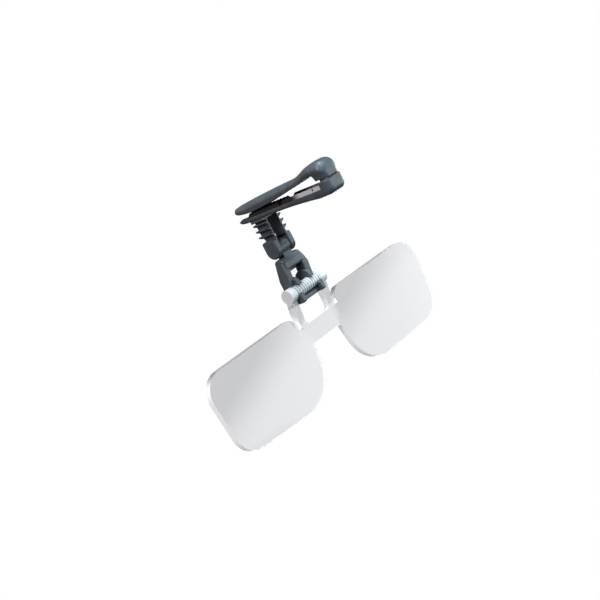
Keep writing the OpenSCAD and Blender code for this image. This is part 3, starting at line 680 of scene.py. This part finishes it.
class MAGNIFIER_OT_stem(bpy.types.Operator):
    """Build the finned stem and its yoke"""

    bl_idname = "magnifier.stem"
    bl_label = "Stem and yoke"

    def execute(self, context):
        sizes = context.scene.magnifier_stem
        gap, leg, edge = scaled(sizes, "gap") / 2, scaled(sizes, "leg"), scaled(sizes, "edge")
        front, back = STEM_LOW[1], STEM_HIGH[1]
        shoulder = FLIP[1] + scaled(sizes, "drop")
        top = node_box("lower_grip_pad")[0][2] - 1
        pitch = scaled(sizes, "fin_pitch")
        leg_back, leg_top, leg_foot = back - 0.1, top - 0.6, shoulder - 1
        leg_side = rounded([(front, leg_top, 0), (front, leg_foot, 0), (leg_back - 1.3, leg_foot, 0),
                            (leg_back, shoulder + pitch, 2), (leg_back, leg_top, 0)])
        shells = [slab(leg_side, gap, gap + leg * 0.7, 0.12)]
        fin, fin_tip = scaled(sizes, "fin"), scaled(sizes, "fin_tip")
        reach = STEM_HIGH[0]
        for i in (1, 2, 3):
            z = shoulder - 0.25 + i * pitch
            profile = rounded([(gap + 0.1, z - fin / 2, 0), (gap + leg, z - fin / 2 - 0.1, 0.2),
                               (reach, z + fin / 2 - fin_tip, 0.2), (reach, z + fin / 2, 0.2),
                               (gap + leg, z + fin / 2, 0), (gap + 0.1, z + fin / 2, 0)], 3)
            shells.append(slab(profile, front, back, 0.3, "y"))
        radius = (back - front) / 2
        turn = np.linspace(0, -np.pi, 24)
        shoulders = rounded([(front, FLIP[1], 0), (front, shoulder, 0.7), (back, shoulder, 0.7),
                             (back, FLIP[1], 0)])[1:-1]
        cheek = np.concatenate([shoulders, FLIP + radius * np.stack([np.cos(turn), np.sin(turn)], 1)])
        shells.append(slab(cheek, gap, scaled(sizes, "yoke") / 2, edge))
        shells += [mirrored(shell) for shell in shells]
        collar = rounded([(front, top - 0.8, 0.2), (back, top - 0.8, 0.2), (back, top + 0.1, 0),
                          (front, top + 0.1, 0)])
        shells.append(slab(collar, -reach, reach, 0.2))
        make_piece("stem_fork", shells, "moulded_slate_abs", "lower_clip", ["ribbed_stem"])
        return {"FINISHED"}


class MAGNIFIER_OT_link(bpy.types.Operator):
    """Build the hinge link and the lens retainer"""

    bl_idname = "magnifier.link"
    bl_label = "Link and retainer"

    def execute(self, context):
        sizes = context.scene.magnifier_link
        edge, bore = scaled(sizes, "edge"), scaled(sizes, "rod")
        wide = LINK_HIGH[0]
        arm_in = wide - scaled(sizes, "arm")
        tongue = scaled(sizes, "tongue")
        tongue_w = scaled(context.scene.magnifier_stem, "gap") / 2 - 0.15
        bar = FLIP + np.array([-0.4, -5.5])
        bar_r, bar_w = scaled(sizes, "bar"), scaled(sizes, "bar_width") / 2
        neck_r = 1.5
        neck = rounded([(FLIP[0] - neck_r, FLIP[1], 0), (FLIP[0] + neck_r, FLIP[1], 0),
                        (bar[0] + neck_r, bar[1], 0), (bar[0] - neck_r, bar[1], 0)])
        crossbar = rounded([(bar[0] - bar_r, bar[1] - bar_r, 1), (bar[0] + bar_r, bar[1] - bar_r, 1.2),
                            (bar[0] + bar_r, bar[1] + bar_r, 1.6), (bar[0] - bar_r, bar[1] + bar_r, 1.8)], 9)
        shells = [slab(circle(FLIP, tongue), -tongue_w, tongue_w, 0.25),
                  slab(neck, -tongue_w, tongue_w, 0.25),
                  slab(crossbar, -bar_w, bar_w, 0.8, steps=6)]
        # A web behind the crossbar, in its shadow
        web_low, web_front, web_back = bar[1] - bar_r - 1, bar[0] + 0.2, bar[0] + 2
        web = rounded([(web_front, web_low, 0.2), (web_back, web_low, 0.3),
                       (web_back, bar[1], 0), (web_front, bar[1], 0)])
        shells.append(slab(web, -arm_in - 0.5, arm_in + 0.5, 0.1))
        # An arm: from the crossbar straight down, and round the rod's back
        arm_back, arm_low, shoulder = ROD[0] + 3.4, ROD[1] - 1.5, bar[1] + 0.9
        hug = np.radians(np.linspace(98, -40, 14))
        inside = ROD + bore * np.stack([np.cos(hug), np.sin(hug)], 1)
        arm = np.concatenate([
            rounded([(inside[0, 0] - 0.1, inside[0, 1], 0), (bar[0] - bar_r + 0.1, bar[1] - 3, 1.2),
                     (bar[0] - bar_r + 0.4, shoulder, 0.6), (bar[0] + neck_r, shoulder, 0.8),
                     (arm_back, ROD[1] + 5, 3), (arm_back, arm_low, 0.3),
                     (inside[-1, 0], arm_low, 0)]), inside[::-1]])
        arm_slab = slab(arm, arm_in, wide, edge)
        # The arm's upper end draws in towards the crossbar at its shoulder, in even proportion
        rise = np.clip((arm_slab[..., 2] - (bar[1] - 1.0)) / 2.8, 0, 1)
        arm_slab[..., 0] -= (arm_slab[..., 0] - arm_in + 0.4) * 0.5 * rise
        # A disc inside each arm's end, cut off under the arm and in front of the rod
        disc_centre = ROD + np.array([1.3, 0.9])
        disc_angle = np.radians(np.linspace(22, 318, 44)) + np.pi
        disc = disc_centre + scaled(sizes, "disc") * np.stack([np.cos(disc_angle), np.sin(disc_angle)], 1)
        disc = np.stack([disc[:, 0], np.maximum(disc[:, 1], arm_low)], 1)
        rod_clear = ROD[1] + 1.9
        disc[(disc[:, 0] < ROD[0]) & (disc[:, 1] < rod_clear), 1] = rod_clear
        side_shells = [arm_slab, slab(disc, arm_in - 0.8, arm_in + 0.8, 0.25)]
        shells += side_shells + [mirrored(shell) for shell in side_shells]
        make_piece("link_frame", shells, "moulded_slate_abs", "link", ["hinge_link"])

        # The retainer: a bar under the rod with a lug at each end in front of it
        low, high = node_box("lens_retainer")
        bar_side = rounded([(ROD[0] - 1.2, low[2], 0.6), (arm_back, low[2], 0.6),
                            (arm_back, ROD[1] - 1.6, 0.2), (ROD[0] + 1.6, ROD[1] - 1.6, 0),
                            (ROD[0] + 0.9, ROD[1] - 2.1, 0), (ROD[0], ROD[1] - bore, 0),
                            (ROD[0] - 1.2, ROD[1] - 2.6, 0.2)])
        hug = np.radians(np.linspace(196, 270, 9))
        inside = ROD + bore * np.stack([np.cos(hug), np.sin(hug)], 1)
        lug_side = np.concatenate([
            inside[::-1], rounded([(low[1], ROD[1] - 0.6, 0.3), (low[1], low[2], 0.9), (ROD[0], low[2], 0)])])
        lug = slab(lug_side, wide - 1.9, wide, 0.35)
        make_piece("retainer_bar", [slab(bar_side, -wide, wide, 0.3), lug, mirrored(lug)],
                   "moulded_slate_abs", "link", ["lens_retainer"])
        return {"FINISHED"}


class MAGNIFIER_OT_lens(bpy.types.Operator):
    """Build the clear lens with softened edges"""

    bl_idname = "magnifier.lens"
    bl_label = "Lens"

    def execute(self, context):
        mesh = frame["nodes"]["magnifier_lens"].data.copy()
        mesh.materials.clear()
        piece = finish_piece("clear_lens", mesh, "polished_clear_acrylic", "lens",
                             ["magnifier_lens"], smooth=30)
        bevel = piece.modifiers.new("Soft edges", "BEVEL")
        bevel.width = 0.3 * MM
        bevel.segments = 2
        bevel.limit_method = "ANGLE"
        bevel.angle_limit = np.radians(40)
        piece.modifiers.move(1, 0)

        # Fine rings round the rod: a wave along X, whose crests stand just outside the smooth rod
        reach = LINK_HIGH[0] + 0.25
        rod_radius, ring_height, ring_spacing, points = 2.2, 0.03, 1.15, 48
        along = np.arange(-reach, reach, 0.06)
        wave = rod_radius + ring_height * np.cos(2 * np.pi * along / ring_spacing)
        angle = np.linspace(0, 2 * np.pi, points, endpoint=False)
        rings = np.stack([np.broadcast_to(along[:, None], (len(along), points)),
                          ROD[0] + wave[:, None] * np.cos(angle), ROD[1] + wave[:, None] * np.sin(angle)], 2)
        make_piece("ringed_rod", [rings], "ringed_acrylic_painted_shade", "lens", smooth=60)
        return {"FINISHED"}


class MAGNIFIER_OT_studio(bpy.types.Operator):
    """Set up the floor, the lights and the camera"""

    bl_idname = "magnifier.studio"
    bl_label = "Studio"

    def execute(self, context):
        scene = context.scene
        studio = scene.magnifier_studio
        scene.view_settings.view_transform = "Standard"
        tree, shader, place = new_material("pale_studio_floor")
        # The floor glows evenly, as a light table does, and takes no pool of light from the lamps
        shader.inputs["Base Color"].default_value = (0, 0, 0, 1)
        shader.inputs["Specular IOR Level"].default_value = 0.0
        shader.inputs["Roughness"].default_value = 0.9
        shader.inputs["Emission Color"].default_value = linear(scene.magnifier_colours.floor)
        shader.inputs["Emission Strength"].default_value = 1.0
        reach = 6.0
        mesh = bpy.data.meshes.new("studio_floor")
        height = studio.floor
        mesh.from_pydata([(-reach, -reach, height), (reach, -reach, height), (reach, reach, height),
                          (-reach, reach, height)], [], [(0, 1, 2, 3)])
        mesh.materials.append(bpy.data.materials["pale_studio_floor"])
        floor = bpy.data.objects.new("studio_floor", mesh)
        scene.collection.objects.link(floor)
        floor.visible_diffuse = False
        floor.visible_glossy = False
        floor.visible_shadow = False

        world = bpy.data.worlds.new("studio_white")
        scene.world = world
        world.use_nodes = True
        # The backdrop is white where it is seen, also through the lens. It lights the object softly, with
        # a glow low on the front right that the lens mirrors
        tree = world.node_tree
        tree.nodes.clear()
        path = add_node(tree, "ShaderNodeLightPath")
        seen = add_node(tree, "ShaderNodeMath", operation="MAXIMUM", inputs={
            0: path.outputs["Is Camera Ray"], 1: path.outputs["Is Transmission Ray"]})
        facing = add_node(tree, "ShaderNodeSeparateXYZ", {
            0: add_node(tree, "ShaderNodeTexCoord").outputs["Generated"]})
        across = add_node(tree, "ShaderNodeMath", operation="MULTIPLY", inputs={
            0: facing.outputs["X"], 1: 0.4})
        lowered = add_node(tree, "ShaderNodeMath", operation="SUBTRACT", inputs={
            0: across.outputs[0], 1: facing.outputs["Z"]})
        rise = add_node(tree, "ShaderNodeMapRange", interpolation_type="SMOOTHSTEP", inputs={
            "Value": lowered.outputs[0], "From Min": 0.3, "From Max": 0.47, "To Max": 5.4})
        ending = add_node(tree, "ShaderNodeMapRange", {
            "Value": facing.outputs["Z"], "From Min": -0.35, "From Max": -0.27})
        glow = add_node(tree, "ShaderNodeMath", operation="MULTIPLY", inputs={
            0: rise.outputs["Result"], 1: ending.outputs["Result"]})
        plain = add_node(tree, "ShaderNodeMapRange", {
            "Value": path.outputs["Is Singular Ray"], "To Min": 0.08, "To Max": 0.9})
        glow = add_node(tree, "ShaderNodeMath", operation="MAXIMUM", inputs={
            0: glow.outputs[0], 1: plain.outputs["Result"]})
        strength = add_node(tree, "ShaderNodeMix", data_type="FLOAT", inputs={
            0: seen.outputs[0], 2: glow.outputs[0], 3: 1.0})
        backdrop = add_node(tree, "ShaderNodeBackground", {
            "Color": (1, 1, 1, 1), "Strength": strength.outputs[0]})
        add_node(tree, "ShaderNodeOutputWorld", {"Surface": backdrop.outputs[0]})

        # Name, place, width in metres, power in watts and colour of each lamp
        lights = (
            ("front_softbox", (0.20, -0.58, 0.46), 0.4, 4.0, (0.74, 0.93, 1.0)),
            ("side_softbox", (-0.62, -0.20, 0.50), 0.35, 5.0, (1.0, 0.88, 0.87)),
            ("top_softbox", (0.15, -0.28, 0.75), 0.35, 8.0, (0.93, 0.97, 1.0)),
            ("rear_softbox", (-0.35, 0.55, 0.40), 0.6, 1.0, (1.0, 0.50, 0.42)))
        for name, place, width, power, colour in lights:
            light = bpy.data.lights.new(name, "AREA")
            light.size = width
            light.energy = power
            light.color = colour
            lamp = bpy.data.objects.new(name, light)
            aim = Vector((0, 0, -0.03)) - Vector(place)
            lamp.matrix_world = Matrix.Translation(place) @ aim.to_track_quat("-Z", "Y").to_matrix().to_4x4()
            scene.collection.objects.link(lamp)

        # The camera's axes are worked out from its azimuth, elevation and roll, and it is then moved
        # so that the aim falls on its pixel of the 600 by 600 frame
        azimuth, elevation, roll = studio.azimuth, studio.elevation, studio.roll
        back = Vector((np.sin(azimuth) * np.cos(elevation), -np.cos(azimuth) * np.cos(elevation),
                       np.sin(elevation)))
        side = Vector((np.cos(azimuth), np.sin(azimuth), 0))
        rise = back.cross(side)
        right = side * np.cos(roll) - rise * np.sin(roll)
        up = side * np.sin(roll) + rise * np.cos(roll)
        frame_width = 600
        focal = 1820.8  # in pixels
        aim_pixel = (283.7, 248.0)
        step = studio.distance / focal
        place = (Vector(studio.aim) + back * studio.distance - right * (aim_pixel[0] - frame_width / 2) * step
                 + up * (aim_pixel[1] - frame_width / 2) * step)
        camera = bpy.data.cameras.new("studio_camera")
        sensor = 36
        camera.sensor_width = sensor
        camera.lens = sensor * focal / frame_width
        camera.clip_start = 0.01
        camera.clip_end = 50
        holder = bpy.data.objects.new("studio_camera", camera)
        holder.matrix_world = Matrix.Translation(place) @ Matrix((right, up, back)).transposed().to_4x4()
        scene.collection.objects.link(holder)
        scene.camera = holder
        return {"FINISHED"}


class MAGNIFIER_PT_panel(bpy.types.Panel):
    """Lists the pieces of the magnifier in the sidebar"""

    bl_label = "Hat magnifier"
    bl_idname = "MAGNIFIER_PT_panel"
    bl_space_type = "VIEW_3D"
    bl_region_type = "UI"
    bl_category = "Magnifier"

    def draw(self, context):
        for operator in OPERATORS:
            self.layout.operator(operator.bl_idname)
        for group in GROUPS:
            sizes = getattr(context.scene, group)
            box = self.layout.box()
            for name in sizes.__annotations__:
                box.prop(sizes, name)


OPERATORS = (MAGNIFIER_OT_finishes, MAGNIFIER_OT_clip, MAGNIFIER_OT_pads, MAGNIFIER_OT_spring,
             MAGNIFIER_OT_stem, MAGNIFIER_OT_link, MAGNIFIER_OT_lens, MAGNIFIER_OT_studio)
GROUPS = {"magnifier_clip": ClipSizes, "magnifier_stem": StemSizes, "magnifier_link": LinkSizes,
          "magnifier_colours": FinishColours, "magnifier_studio": StudioSizes}


def register():
    """Registers the classes and puts the property groups on the scene."""
    for group in GROUPS.values():
        bpy.utils.register_class(group)
    for operator in OPERATORS:
        bpy.utils.register_class(operator)
    bpy.utils.register_class(MAGNIFIER_PT_panel)
    for name, group in GROUPS.items():
        setattr(bpy.types.Scene, name, PointerProperty(type=group))


def unregister():
    """Takes the property groups and the classes away again."""
    for name in GROUPS:
        delattr(bpy.types.Scene, name)
    bpy.utils.unregister_class(MAGNIFIER_PT_panel)
    for operator in reversed(OPERATORS):
        bpy.utils.unregister_class(operator)
    for group in GROUPS.values():
        bpy.utils.unregister_class(group)


def main():
    """Builds every piece and the studio."""
    register()
    bpy.ops.magnifier.finishes()
    bpy.ops.magnifier.clip()
    bpy.ops.magnifier.pads()
    bpy.ops.magnifier.spring()
    bpy.ops.magnifier.stem()
    bpy.ops.magnifier.link()
    bpy.ops.magnifier.lens()
    bpy.ops.magnifier.studio()


if __name__ == "__main__":
    main()
